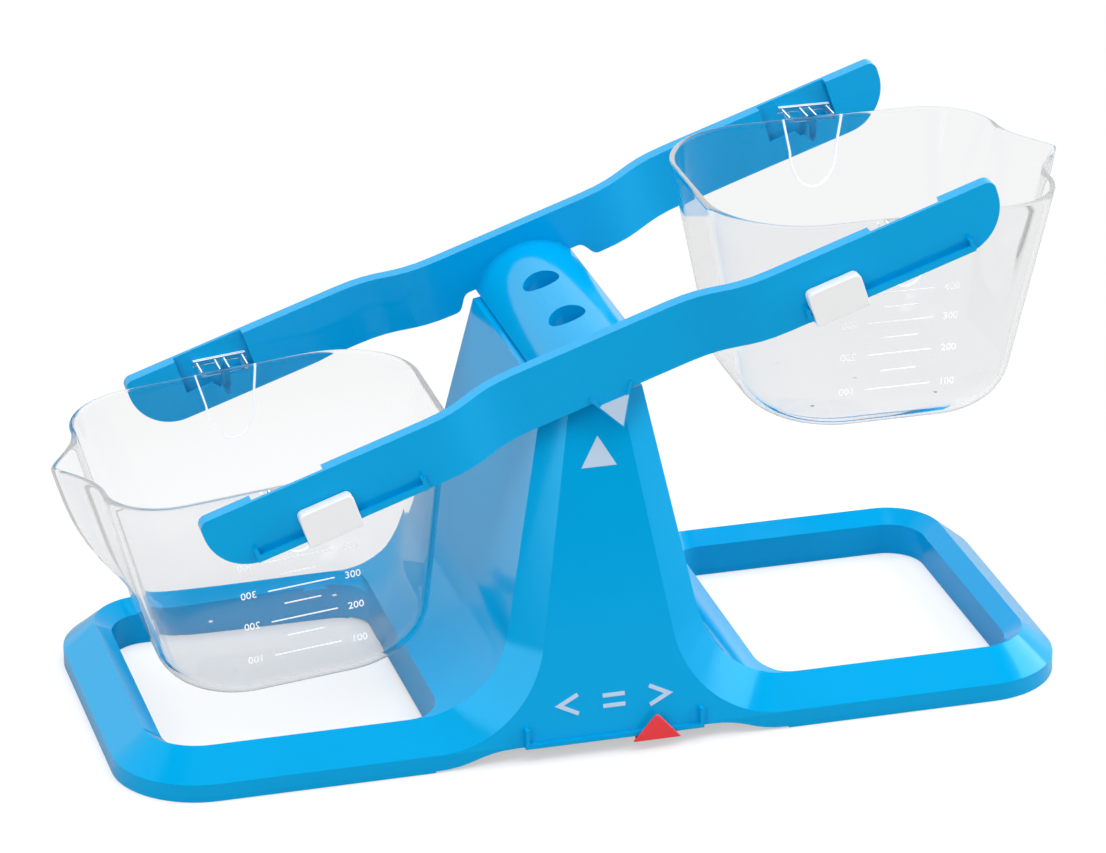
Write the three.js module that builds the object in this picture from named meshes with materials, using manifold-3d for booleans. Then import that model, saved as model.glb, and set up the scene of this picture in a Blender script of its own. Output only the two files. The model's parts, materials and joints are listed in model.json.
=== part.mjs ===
// Bucket balance scale: a moulded base with a tower, a rocking beam, two hanging buckets,
// two sliding compensators and a sliding marker. Millimetres, +Z up.
// The origin is the middle of the base on the table, +X to the right and -Y to the front.
// The beam rests on its left stop, with the left bucket down.
import * as THREE from "three";
import { mergeVertices } from "three/addons/utils/BufferGeometryUtils.js";
import Module from "manifold-3d";

const wasm = await Module();
wasm.setup();

// Fits
const seatGap = 0.3; // between two pieces that touch
const slideGap = 0.3; // around a sliding piece
const swingGap = 0.45; // between the rails and the tower
const overlap = 0.6; // how far joined features reach into each other
const margin = 5; // how far a cutter runs past what it cuts

// Base frame: two loops of ridged bar, left and right of the tower
const baseLength = 330;
const baseDepth = 142;
const baseCornerRadius = 30;
const bandHeight = 6.3; // upright outer edge of a bar
const ridgeHeight = 15.4; // crest of a bar
const ridgeInset = 10.9; // crest, in from the outer edge
const barWidth = 16.9;
const barInnerHeight = 11.3; // top of the bar's wall around the loop
const loopStart = 56; // loop's wall beside the tower, from the middle
const loopCornerRadius = 12; // corners beside the tower
const baseWall = 2.2;

// Tower: leaning panels front and back, joined to the sides by sloping strips
const panelLean = 0.203; // run per rise
const panelHalfWidth = 29; // at the table, without its flare
const panelTaper = 0.17;
const panelFlareRadius = 38;
const sideHalfWidth = 41.5; // at the table, without its flare
const sideTaper = 0.203;
const sideFlareRadius = 34;
const flareTuck = 0.3; // how far the foot of a side's flare sinks into the bars' crest
const stripDepth = 7.5; // from the panel back to the side face, at the table
const stripTaper = 0.037;
const underArchHalfWidth = 61.5; // raised lower edge under each panel
const underArchStep = 0.5; // at both ends, beside the foot of a bar
const underArchRise = 5.2;
const underArchRun = 28;

// Fulcrum on top of the tower
const pivotHeight = 133.3;
const restTilt = THREE.MathUtils.degToRad(18.63);
const fulcrumHalfAngle = THREE.MathUtils.degToRad(30);
const fulcrumEdge = 0.6; // width of its bearing edge
const fulcrumLength = 9; // of each of its two blades, under the beam's bearing ribs

// Ledge and stops under the front panel, and the marker that slides on it
const signLedgeHalfLength = 31;
const signLedgeThickness = 1.5;
const signLedgeReach = 2;
const signStopThickness = 1.4;
const signStopHeight = 7;
const markerWidth = 16.5;
const markerRise = 7.3; // apex above the ledge's underside
const markerLip = 1.2; // lip under the ledge
const markerPlate = 1.2;
const markerTip = 1.2;
const markerHookWidth = 5;
const markerHookHeight = 2.2;
const markerRest = 14.2; // from the middle

// Beam: two hollow rails joined by an arch; x along the beam, z from its middle
const armLength = 142;
const railTop = 11;
const railBottom = -10.3;
const railThickness = 5.2;
const railWall = 1.6;
const railFlange = 1.8;
const railTopCorner = 3;
const railEndRadius = 16;
const railSolidEnd = 12;
const bowStart = 28; // where the rails begin to spread
const bowEnd = 62;
const archRadius = 21.2;
const archTop = 5;
const archFoot = -5;
const archThickness = 2.8;
const archHoleDiameter = 13;
const archHoleSpacing = 32.5;
const archCollarWall = 1.6; // tube under each hole
const archCollarDepth = 6; // below the crown's underside
const bearingSpacing = 64; // two ribs with a notch, under the arch
const bearingThickness = 2.4;
const bearingHalfAngle = THREE.MathUtils.degToRad(55);
const bearingDepth = 4;
const backNotchHalfWidth = 20.5;
const backNotchRun = 6.5;
const backNotchRise = 5.6;
const pointerHalfWidth = 8;
const pointerTop = -8;
const pointerTip = -23;
const pointerPlate = 1.6;
const pointerRim = 1.2;
const pointerRimProud = 0.8;

// Pockets for the bucket hangers and the ledges for the compensators
const hangDistance = 110.5; // hanger's notch from the middle
const pocketHalfLength = 12.6;
const pocketFloor = -2;
const notchRoot = -4.6; // where a hanger's tongue bears
const notchRootHalfWidth = 1.3;
const notchHalfAngle = THREE.MathUtils.degToRad(32);
const ledgeStart = 69; // middles of the stop ribs
const ledgeEnd = 128;
const ledgeReach = 3;
const ledgeThickness = 1.3;
const ledgeRise = 1.4; // above the rail's lower edge
const ledgeLipWidth = 0.9;
const ledgeLipHeight = 0.9;
const stopThickness = 1.4;
const stopRise = 5.8; // above the rail's lower edge

// Compensators
const compensatorLength = 19;
const compensatorTop = 1.5;
const compensatorReach = 5; // in front of the rail
const compensatorFloor = 1.4; // lip under the ledge
const compensatorCorner = 2;
const leftCompensatorRest = 102; // from the middle

// Buckets
const bucketDepth = 79.9;
const rimHalfLength = 60.7;
const rimHalfWidth = 51;
const rimCornerRadius = 24;
const floorHalfLength = 44.9;
const floorHalfWidth = 44.1;
const floorCornerRadius = 28;
const floorEdgeRadius = 13.7;
const bucketWall = 1.8;
const bucketFloor = 2;
const spoutReach = 11.9;
const spoutHalfWidth = 30;
const spoutLead = 10; // how far its curves lead in and out
const spoutDrop = 44;
const leftBucketTilt = THREE.MathUtils.degToRad(5.65);

// Hangers on the buckets' front and back walls
const hangerReach = 7.3; // from the rim's wall to the rail
const hangerHalfWidth = 8.4;
const hangerPlate = 1.6;
const hangerBar = 1.6; // side bars around the plate's two windows
const hangerLipHalfWidth = 9.5;
const hangerLipRise = 0.6;
const tongueLength = 9.3; // from the rim down to its tip
const tongueRootHalfWidth = 1.6;
const tongueTipRadius = 1;
const padHalfWidth = 10.5;
const padDepth = 26.5;
const padThickness = 1.2;

// Fineness
const arcSteps = 8;
const holeSides = 32;
const floorEdgeSteps = 5; // around the edge of a bucket's floor
const flareSteps = 16; // up each flare at the tower's foot
const samePoint = 1e-4; // points nearer than this are one

// Materials
const skyBlue = { color: 0x0a9fe0, roughness: 0.32, metalness: 0 };
const clear = { color: 0xe9f1f5, roughness: 0.08, metalness: 0, transparent: true, opacity: 0.3 };
const white = { color: 0xeeeef2, roughness: 0.4, metalness: 0 };
const red = { color: 0xe23a40, roughness: 0.38, metalness: 0 };

// Worked out from the sizes above
const halfLength = baseLength / 2;
const halfDepth = baseDepth / 2;
const pivotAboveMiddle = archTop - archThickness - seatGap;
const archCentre = archTop - archRadius;
const archInner = archRadius - archThickness;
const archSweep = Math.acos((archFoot - archCentre) / archRadius); // from the crown to a foot
const footDrop =
  archInner * Math.sin(archSweep) * Math.sin(restTilt) +
  (pivotAboveMiddle - archCentre - archInner * Math.cos(archSweep)) * Math.cos(restTilt);
const shoulderHeight = pivotHeight - footDrop - seatGap;
const middleHeight = pivotHeight - pivotAboveMiddle * Math.cos(restTilt);
const shoulderHalfWidth = sideHalfWidth - sideTaper * shoulderHeight;
const railDipHeight =
  middleHeight - shoulderHalfWidth * Math.tan(restTilt) + railBottom / Math.cos(restTilt);
const centreInner = panelY(railDipHeight) + swingGap;
const armInner = rimHalfWidth + hangerReach;
const armOuter = armInner + railThickness;
const rimHeight = seatGap + tongueLength; // of a bucket, above the notch that it hangs in

// Front panel's distance from the middle at a height.
function panelY(z) {
  return halfDepth - panelLean * Math.max(z - bandHeight, 0);
}

// Solid for cutting and joining, from a closed geometry.
function solid(geometry) {
  const bare = geometry.index ? geometry.toNonIndexed() : geometry.clone();
  bare.deleteAttribute("normal");
  bare.deleteAttribute("uv");
  const merged = mergeVertices(bare, samePoint);
  return new wasm.Manifold(
    new wasm.Mesh({
      numProp: 3,
      vertProperties: new Float32Array(merged.attributes.position.array),
      triVerts: new Uint32Array(merged.index.array),
    }),
  );
}

function joined(solids) {
  return solids.reduce((sum, next) => sum.add(next));
}

// Named mesh of a solid.
function piece(name, body, finish) {
  const surface = body.getMesh();
  const geometry = new THREE.BufferGeometry();
  geometry.setAttribute("position", new THREE.BufferAttribute(surface.vertProperties, 3));
  geometry.setIndex(new THREE.BufferAttribute(surface.triVerts, 1));
  const flat = geometry.toNonIndexed();
  flat.computeVertexNormals();
  const mesh = new THREE.Mesh(flat, new THREE.MeshStandardMaterial(finish));
  mesh.name = name;
  return mesh;
}

function polygon(points) {
  return new THREE.Shape(points.map(([a, b]) => new THREE.Vector2(a, b)));
}

function extruded(shape, depth) {
  return new THREE.ExtrudeGeometry(shape, { depth, bevelEnabled: false, curveSegments: arcSteps });
}

// Shape in plan, raised from z0 to z1.
function upright(shape, z0, z1) {
  return solid(extruded(shape, z1 - z0).translate(0, 0, z0));
}

// Shape in x and z, carried from y0 to y1.
function across(shape, y0, y1) {
  return solid(extruded(shape, y1 - y0).rotateX(Math.PI / 2).translate(0, y1, 0));
}

// Shape in y and z, carried from x0 to x1.
function along(shape, x0, x1) {
  return solid(extruded(shape, x1 - x0).rotateX(Math.PI / 2).rotateZ(Math.PI / 2).translate(x0, 0, 0));
}

function box(x0, x1, y0, y1, z0, z1) {
  const middle = [(x0 + x1) / 2, (y0 + y1) / 2, (z0 + z1) / 2];
  return solid(new THREE.BoxGeometry(x1 - x0, y1 - y0, z1 - z0).translate(...middle));
}

// Upright cylinder at a distance from the middle, from z0 to z1.
function post(y, radius, z0, z1) {
  const cylinder = new THREE.CylinderGeometry(radius, radius, z1 - z0, holeSides);
  return solid(cylinder.rotateX(Math.PI / 2).translate(0, y, (z0 + z1) / 2));
}

// Rounded rectangle; radii run from the corner at x0, y0 round to x0, y1.
function roundedRectangle(x0, x1, y0, y1, radii) {
  const [a, b, c, d] = radii;
  const quarter = Math.PI / 2;
  const shape = new THREE.Shape();
  shape.moveTo(x0 + a, y0);
  shape.lineTo(x1 - b, y0);
  shape.absarc(x1 - b, y0 + b, b, -quarter, 0);
  shape.lineTo(x1, y1 - c);
  shape.absarc(x1 - c, y1 - c, c, 0, quarter);
  shape.lineTo(x0 + d, y1);
  shape.absarc(x0 + d, y1 - d, d, quarter, 2 * quarter);
  shape.lineTo(x0, y0 + a);
  shape.absarc(x0 + a, y0 + a, a, 2 * quarter, 3 * quarter);
  return shape;
}

// Counterclockwise ring of points at a height, from a shape.
function ring(shape, z) {
  const all = shape.getPoints(arcSteps);
  const points = all.filter((p, i) => p.distanceTo(all.at(i - 1)) > samePoint);
  if (THREE.ShapeUtils.area(points) < 0) points.reverse();
  return points.map((p) => new THREE.Vector3(p.x, p.y, z));
}

// Closed skin over rings with the same number of points, capped at the first and the last.
function lofted(rings) {
  const count = rings[0].length;
  const positions = rings.flat().flatMap((p) => [p.x, p.y, p.z]);
  const faces = [];
  for (let level = 0; level + 1 < rings.length; level++) {
    for (let i = 0; i < count; i++) {
      const a = level * count + i;
      const b = level * count + ((i + 1) % count);
      faces.push(a, b, b + count, a, b + count, a + count);
    }
  }
  const cap = (points) =>
    THREE.ShapeUtils.triangulateShape(points.map((p) => new THREE.Vector2(p.x, p.y)), []);
  const last = (rings.length - 1) * count;
  cap(rings[0]).forEach(([a, b, c]) => faces.push(a, c, b));
  cap(rings[rings.length - 1]).forEach(([a, b, c]) => faces.push(last + a, last + b, last + c));
  const geometry = new THREE.BufferGeometry();
  geometry.setAttribute("position", new THREE.Float32BufferAttribute(positions, 3));
  geometry.setIndex(faces);
  return solid(geometry);
}

// Plateau of the base frame, set in by a wall on every side.
function framePlateau(wall, floor) {
  const level = (inset, z) => {
    const x = halfLength - inset;
    const y = halfDepth - inset;
    const radius = baseCornerRadius - inset;
    return ring(roundedRectangle(-x, x, -y, y, [radius, radius, radius, radius]), z);
  };
  return lofted([
    level(wall, floor),
    level(wall, bandHeight - wall / 2),
    level(wall + ridgeInset, ridgeHeight - wall),
  ]);
}

// Cutter for the loop on one side, grown by a wall. Above the bars it opens out to their crest.
function loopCutter(side, wall) {
  const level = (inset, z) => {
    const near = loopStart - wall;
    const far = halfLength - inset + wall;
    const y = halfDepth - inset + wall;
    const tight = loopCornerRadius + wall;
    const wide = baseCornerRadius - inset + wall;
    const shape =
      side > 0
        ? roundedRectangle(near, far, -y, y, [tight, wide, wide, tight])
        : roundedRectangle(-far, -near, -y, y, [wide, tight, tight, wide]);
    return ring(shape, z);
  };
  return lofted([
    level(barWidth, -margin),
    level(barWidth, barInnerHeight),
    level(ridgeInset, ridgeHeight),
    level(ridgeInset, pivotHeight / 2),
  ]);
}

// Point of an edge that flares from a bar: half-width and height, at a turn from 0 to 1 up its arc.
function flarePoint(turn, halfWidth, taper, radius, foot) {
  const lean = Math.atan(taper);
  const top = foot + radius * (1 - Math.sin(lean));
  const centre = halfWidth - taper * top + radius * Math.cos(lean);
  const angle = turn * (Math.PI / 2 - lean);
  return [centre - radius * Math.sin(angle), foot + radius * (1 - Math.cos(angle))];
}

// Ring of the tower's eight edges, set in by a wall. The panels' edges and the sides' edges
// have heights of their own.
function towerRing([panelHalf, panelHeight], [sideHalf, sideHeight], wall) {
  const strip = panelY(sideHeight) - stripDepth + stripTaper * sideHeight;
  const panel = panelY(panelHeight) - wall;
  const side = Math.min(strip, halfDepth - ridgeInset) - wall;
  const x = [panelHalf - wall / 2, sideHalf - wall];
  const z = [panelHeight - wall / 2, sideHeight - wall];
  const corners = [
    [-x[0], -panel, z[0]],
    [x[0], -panel, z[0]],
    [x[1], -side, z[1]],
    [x[1], side, z[1]],
    [x[0], panel, z[0]],
    [-x[0], panel, z[0]],
    [-x[1], side, z[1]],
    [-x[1], -side, z[1]],
  ];
  return corners.map((corner) => new THREE.Vector3(...corner));
}

// Tower: the bars' lower edges sweep up into the panels' edges, and their crests into the sides'.
function tower(wall, floor, top) {
  const sideFoot = ridgeHeight - flareTuck;
  const rings = [];
  for (let step = 0; step <= flareSteps; step++) {
    const turn = step / flareSteps;
    const panelEdge = flarePoint(turn, panelHalfWidth, panelTaper, panelFlareRadius, bandHeight);
    const sideEdge = flarePoint(turn, sideHalfWidth, sideTaper, sideFlareRadius, sideFoot);
    rings.push(towerRing(panelEdge, sideEdge, wall));
  }
  const panelTop = [panelHalfWidth - panelTaper * top, top];
  const sideTop = [sideHalfWidth - sideTaper * top, top];
  const head = towerRing(panelTop, sideTop, wall).map((p) => p.setZ(top));
  const foot = rings[0].map((p) => p.clone().setZ(floor));
  return lofted([foot, ...rings, head]);
}

// Low arch that lifts the lower edge of the panels between the loops.
function underArch() {
  const x = underArchHalfWidth;
  const half = underArchRun / 2;
  const low = underArchStep;
  const high = underArchRise;
  const shape = new THREE.Shape();
  shape.moveTo(-x, -margin);
  shape.lineTo(x, -margin);
  shape.lineTo(x, low);
  shape.bezierCurveTo(x - half, low, x - half, high, x - underArchRun, high);
  shape.lineTo(underArchRun - x, high);
  shape.bezierCurveTo(half - x, high, half - x, low, -x, low);
  return across(shape, -halfDepth - margin, halfDepth + margin);
}

// Two short blades on the tower's top that carry the beam.
function fulcrum() {
  const root = shoulderHeight - overlap;
  const half = fulcrumEdge / 2;
  const spread = half + (pivotHeight - root) * Math.tan(fulcrumHalfAngle);
  const shape = polygon([
    [-spread, root],
    [spread, root],
    [half, pivotHeight],
    [-half, pivotHeight],
  ]);
  const blade = (end) => {
    const y = (end * bearingSpacing) / 2;
    return across(shape, y - fulcrumLength / 2, y + fulcrumLength / 2);
  };
  return joined([blade(-1), blade(1)]);
}

// Ledge along the foot of the front panel, with a stop at each end.
function signLedge() {
  const front = -halfDepth - signLedgeReach;
  const back = -halfDepth + baseWall;
  const top = underArchRise + signLedgeThickness;
  const x = signLedgeHalfLength;
  const stop = (side) => {
    const edge = side * (x - signStopThickness / 2);
    const half = signStopThickness / 2;
    return box(edge - half, edge + half, front, back, underArchRise, underArchRise + signStopHeight);
  };
  return joined([box(-x, x, front, back, underArchRise, top), stop(-1), stop(1)]);
}

function base() {
  const shell = framePlateau(0, 0).add(tower(0, 0, shoulderHeight));
  const open = loopCutter(-1, 0).add(loopCutter(1, 0));
  const barHollow = framePlateau(baseWall, -margin)
    .subtract(loopCutter(-1, baseWall))
    .subtract(loopCutter(1, baseWall));
  const towerHollow = tower(baseWall, -margin, shoulderHeight - baseWall)
    .subtract(loopCutter(-1, baseWall))
    .subtract(loopCutter(1, baseWall));
  return shell
    .subtract(open)
    .subtract(barHollow)
    .subtract(towerHollow)
    .subtract(underArch())
    .add(fulcrum())
    .add(signLedge());
}

// Marker: a triangle that hooks over the ledge, with a lip under it.
function marker() {
  const ledgeFront = -halfDepth - signLedgeReach;
  const back = ledgeFront - slideGap;
  const front = back - markerPlate;
  const half = markerWidth / 2;
  const tip = markerTip / 2;
  const bottom = underArchRise - slideGap - markerLip;
  const ledgeTop = underArchRise + signLedgeThickness + slideGap;
  const plate = polygon([
    [-half, bottom],
    [half, bottom],
    [tip, underArchRise + markerRise],
    [-tip, underArchRise + markerRise],
  ]);
  const hook = markerHookWidth / 2;
  const inner = -halfDepth - slideGap;
  return joined([
    across(plate, front, back),
    box(-hook, hook, back - overlap, inner, ledgeTop, ledgeTop + markerHookHeight),
    box(-half + markerTip, half - markerTip, back - overlap, inner, bottom, bottom + markerLip),
  ]);
}

// Plan of a rail: straight arms, a straight middle nearer the tower, and a smooth bow between.
// It starts a distance from the rail's inner face and has a thickness of its own.
function railPlan(side, start, thickness, reach) {
  const arm = armInner + start;
  const centre = centreInner + start;
  const half = (bowStart + bowEnd) / 2;
  const shape = new THREE.Shape();
  shape.moveTo(-reach, side * arm);
  shape.lineTo(-bowEnd, side * arm);
  shape.bezierCurveTo(-half, side * arm, -half, side * centre, -bowStart, side * centre);
  shape.lineTo(bowStart, side * centre);
  shape.bezierCurveTo(half, side * centre, half, side * arm, bowEnd, side * arm);
  shape.lineTo(reach, side * arm);
  shape.lineTo(reach, side * (arm + thickness));
  shape.lineTo(bowEnd, side * (arm + thickness));
  shape.bezierCurveTo(
    half, side * (arm + thickness), half, side * (centre + thickness), bowStart, side * (centre + thickness),
  );
  shape.lineTo(-bowStart, side * (centre + thickness));
  shape.bezierCurveTo(
    -half, side * (centre + thickness), -half, side * (arm + thickness), -bowEnd, side * (arm + thickness),
  );
  shape.lineTo(-reach, side * (arm + thickness));
  return shape;
}

// Side view of a rail: a straight bar whose lower corners are large arcs.
function railSide() {
  const radii = [railEndRadius, railEndRadius, railTopCorner, railTopCorner];
  return roundedRectangle(-armLength, armLength, railBottom, railTop, radii);
}

// Carries a shape in x and z through one face of a rail; depths are from the rail's inner face.
function acrossRail(shape, side, inner, from, to) {
  const ends = [side * (inner + from), side * (inner + to)].sort((a, b) => a - b);
  return across(shape, ends[0], ends[1]);
}

// Pocket that takes a hanger: the top and the inner wall are open, down to a notch.
function pocket(side, end) {
  const middle = end * hangDistance;
  const spread = notchRootHalfWidth + (pocketFloor - notchRoot) * Math.tan(notchHalfAngle);
  const half = [
    [pocketHalfLength, railTop + margin],
    [pocketHalfLength, pocketFloor],
    [spread, pocketFloor],
    [notchRootHalfWidth, notchRoot],
  ];
  const right = half.map(([x, z]) => [middle + x, z]);
  const left = half.map(([x, z]) => [middle - x, z]).reverse();
  return acrossRail(polygon([...right, ...left]), side, armInner, -margin, railThickness - railWall);
}

function rail(side) {
  const bar = upright(railPlan(side, 0, railThickness, armLength), railBottom, railTop);
  const sideView = acrossRail(railSide(), side, centreInner, -margin, armOuter - centreInner + margin);
  const hollow = upright(
    railPlan(side, railWall, railThickness - 2 * railWall, armLength - railSolidEnd),
    railBottom - margin,
    railTop - railFlange,
  );
  return bar.intersect(sideView).subtract(hollow).subtract(pocket(side, -1)).subtract(pocket(side, 1));
}

// Notch under the back rail, clear of the tower's shoulder.
function backNotch() {
  const flat = backNotchHalfWidth;
  const wide = flat + backNotchRun;
  const half = flat + backNotchRun / 2;
  const top = railBottom + backNotchRise;
  const shape = new THREE.Shape();
  shape.moveTo(-wide, railBottom - margin);
  shape.lineTo(wide, railBottom - margin);
  shape.lineTo(wide, railBottom);
  shape.bezierCurveTo(half, railBottom, half, top, flat, top);
  shape.lineTo(-flat, top);
  shape.bezierCurveTo(-half, top, -half, railBottom, -wide, railBottom);
  return acrossRail(shape, 1, centreInner, -margin, railThickness + margin);
}

// Arch over the tower, with two round holes in collars and two notched bearing ribs.
function arch() {
  const start = Math.PI / 2 - archSweep;
  const end = Math.PI / 2 + archSweep;
  const shell = new THREE.Shape();
  shell.absarc(0, archCentre, archRadius, start, end, false);
  shell.absarc(0, archCentre, archInner, end, start, true);
  const reach = centreInner + overlap;
  const crown = archCentre + archInner;
  const spread = fulcrumEdge + bearingDepth * Math.tan(bearingHalfAngle);
  const ribHalf = Math.sqrt(archInner ** 2 - (crown - bearingDepth - archCentre) ** 2);
  const ribShape = new THREE.Shape();
  const ribEnd = Math.acos(ribHalf / (archInner + overlap));
  ribShape.moveTo(-spread, crown - bearingDepth);
  ribShape.lineTo(-fulcrumEdge, crown);
  ribShape.lineTo(fulcrumEdge, crown);
  ribShape.lineTo(spread, crown - bearingDepth);
  ribShape.lineTo(ribHalf, crown - bearingDepth);
  ribShape.absarc(0, archCentre, archInner + overlap, ribEnd, Math.PI - ribEnd, false);
  ribShape.lineTo(-ribHalf, crown - bearingDepth);
  const rib = (end) => {
    const y = (end * bearingSpacing) / 2;
    return across(ribShape, y - bearingThickness / 2, y + bearingThickness / 2);
  };
  const holeRadius = archHoleDiameter / 2;
  const collar = (end) => {
    const radius = holeRadius + archCollarWall;
    return post((end * archHoleSpacing) / 2, radius, crown - archCollarDepth, crown + overlap);
  };
  const hole = (end) => post((end * archHoleSpacing) / 2, holeRadius, archFoot - margin, archTop + margin);
  return joined([across(shell, -reach, reach), rib(-1), rib(1), collar(-1), collar(1)])
    .subtract(hole(-1))
    .subtract(hole(1));
}

// Pointer under the front rail: a triangle with a raised rim on its two lower edges.
function pointer() {
  const face = railThickness;
  const slope = (pointerTop - pointerTip) / pointerHalfWidth;
  const drop = pointerRim * Math.sqrt(1 + slope ** 2);
  const triangle = (tip) =>
    polygon([
      [-(pointerTop - tip) / slope, pointerTop],
      [0, tip],
      [(pointerTop - tip) / slope, pointerTop],
    ]);
  const back = face - pointerPlate;
  const plate = acrossRail(triangle(pointerTip), -1, centreInner, back, face + pointerRimProud);
  const recess = acrossRail(triangle(pointerTip + drop), -1, centreInner, face, face + margin);
  return plate.subtract(recess);
}

// Ledge on the front rail for a compensator, between two stop ribs.
function compensatorLedge(end) {
  const bottom = railBottom + ledgeRise;
  const top = bottom + ledgeThickness;
  const wall = -armOuter + overlap;
  const front = -armOuter - ledgeReach;
  const ends = [end * ledgeStart, end * ledgeEnd].sort((a, b) => a - b);
  const shelf = polygon([
    [wall, bottom],
    [wall, top],
    [front + ledgeLipWidth, top],
    [front + ledgeLipWidth, top + ledgeLipHeight],
    [front, top + ledgeLipHeight],
    [front, bottom],
  ]);
  const rib = (x) => {
    const half = stopThickness / 2;
    return box(x - half, x + half, front, wall, bottom, railBottom + stopRise);
  };
  return joined([along(shelf, ends[0], ends[1]), rib(ends[0]), rib(ends[1])]);
}

function beam() {
  const rails = [rail(-1), rail(1).subtract(backNotch())];
  return joined([...rails, arch(), pointer(), compensatorLedge(-1), compensatorLedge(1)]);
}

// Compensator: a block whose slot wraps the ledge and its lip.
function compensator() {
  const ledgeBottom = railBottom + ledgeRise;
  const ledgeTop = ledgeBottom + ledgeThickness;
  const wall = -armOuter - slideGap;
  const front = -armOuter - compensatorReach;
  const ledgeFront = -armOuter - ledgeReach - slideGap;
  const bottom = ledgeBottom - slideGap - compensatorFloor;
  const lipBack = ledgeFront + ledgeLipWidth + 2 * slideGap;
  const half = compensatorLength / 2;
  const face = roundedRectangle(-half, half, bottom, compensatorTop, [
    overlap, overlap, compensatorCorner, compensatorCorner,
  ]);
  const slot = polygon([
    [wall + margin, ledgeBottom - slideGap],
    [wall + margin, ledgeTop + slideGap],
    [lipBack, ledgeTop + slideGap],
    [lipBack, ledgeTop + ledgeLipHeight + slideGap],
    [ledgeFront, ledgeTop + ledgeLipHeight + slideGap],
    [ledgeFront, ledgeBottom - slideGap],
  ]);
  return across(face, front, wall).subtract(along(slot, -half - margin, half + margin));
}

// Outline of a bucket: a rounded rectangle with a pointed spout on its outer end.
function bucketOutline(side, length, width, radius, spout) {
  const quarter = Math.PI / 2;
  const shape = new THREE.Shape();
  shape.moveTo(-length + radius, -width);
  shape.lineTo(length - radius, -width);
  shape.absarc(length - radius, -width + radius, radius, -quarter, 0);
  const flat = Math.min(spoutHalfWidth, width - radius);
  shape.bezierCurveTo(length, -flat + spoutLead, length + spout, -spoutLead / 2, length + spout, 0);
  shape.bezierCurveTo(length + spout, spoutLead / 2, length, flat - spoutLead, length, width - radius);
  shape.absarc(length - radius, width - radius, radius, 0, quarter);
  shape.lineTo(-length + radius, width);
  shape.absarc(-length + radius, width - radius, radius, quarter, 2 * quarter);
  shape.lineTo(-length, -width + radius);
  shape.absarc(-length + radius, -width + radius, radius, 2 * quarter, 3 * quarter);
  const points = shape.getPoints(arcSteps);
  return new THREE.Shape(points.map((p) => new THREE.Vector2(side * p.x, p.y)));
}

// Ring of a bucket's skin; heights are from the hanging axis, under the hangers' tongues.
function bucketRing(side, z, inset) {
  const rise = (z - rimHeight + bucketDepth) / bucketDepth;
  const mix = (low, high) => THREE.MathUtils.lerp(low, high, rise);
  const spout = spoutReach * Math.max(0, 1 - (rimHeight - z) / spoutDrop);
  const length = mix(floorHalfLength, rimHalfLength) - inset;
  const width = mix(floorHalfWidth, rimHalfWidth) - inset;
  const radius = mix(floorCornerRadius, rimCornerRadius) - inset;
  return ring(bucketOutline(side, length, width, radius, spout), z);
}

// Rings of one skin of a bucket, from its floor up to its rim.
function bucketSkin(side, inset, floor) {
  const rings = [];
  const edge = floorEdgeRadius - inset;
  for (let step = 0; step <= floorEdgeSteps; step++) {
    const turn = ((step / floorEdgeSteps) * Math.PI) / 2;
    const lift = edge * (1 - Math.cos(turn));
    rings.push(bucketRing(side, floor + lift, inset + edge * (1 - Math.sin(turn))));
  }
  rings.push(bucketRing(side, rimHeight - spoutDrop, inset));
  rings.push(bucketRing(side, rimHeight - spoutDrop / 2, inset));
  rings.push(bucketRing(side, rimHeight, inset));
  return rings;
}

// Hanger on one wall: a plate with two windows and a lip that stands in the rail, a tongue
// across its middle that swings in the rail's notch, and a U-shaped pad on the wall.
function hanger(front) {
  const wall = rimHalfWidth - bucketWall / 2;
  const lipOuter = armInner + railThickness - railWall - seatGap;
  const lipInner = armInner + railWall + seatGap;
  const underside = rimHeight - hangerPlate;
  const slab = (x0, x1, y0, y1, z0, z1) => {
    const ends = [front * y0, front * y1].sort((a, b) => a - b);
    return box(x0, x1, ends[0], ends[1], z0, z1);
  };
  const window = (end) => {
    const edges = [end * tongueRootHalfWidth, end * (hangerHalfWidth - hangerBar)].sort((a, b) => a - b);
    return slab(edges[0], edges[1], rimHalfWidth + overlap, lipInner, underside - margin, rimHeight + margin);
  };
  const plate = slab(-hangerHalfWidth, hangerHalfWidth, wall, lipOuter, underside, rimHeight);
  const lip = slab(
    -hangerLipHalfWidth, hangerLipHalfWidth, lipInner, lipOuter, underside, rimHeight + hangerLipRise,
  );
  const tongueShape = new THREE.Shape();
  tongueShape.moveTo(tongueRootHalfWidth, rimHeight);
  tongueShape.lineTo(-tongueRootHalfWidth, rimHeight);
  tongueShape.lineTo(-tongueTipRadius, seatGap + tongueTipRadius);
  tongueShape.absarc(0, seatGap + tongueTipRadius, tongueTipRadius, Math.PI, 2 * Math.PI, false);
  const reach = [front * wall, front * lipOuter].sort((a, b) => a - b);
  const tongue = across(tongueShape, reach[0], reach[1]);
  const draft = Math.atan((rimHalfWidth - floorHalfWidth) / bucketDepth);
  const straight = padDepth - padHalfWidth;
  const outline = new THREE.Shape();
  outline.moveTo(padHalfWidth, 0);
  outline.lineTo(-padHalfWidth, 0);
  outline.lineTo(-padHalfWidth, -straight);
  outline.absarc(0, -straight, padHalfWidth, Math.PI, 2 * Math.PI, false);
  const depth = padThickness + bucketWall / 2;
  const pad = extruded(outline, depth)
    .rotateX(Math.PI / 2)
    .translate(0, front > 0 ? depth : 0, 0)
    .rotateX(-front * draft)
    .translate(0, front * wall, rimHeight);
  return joined([plate.subtract(window(-1)).subtract(window(1)), lip, tongue, solid(pad)]);
}

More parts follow.
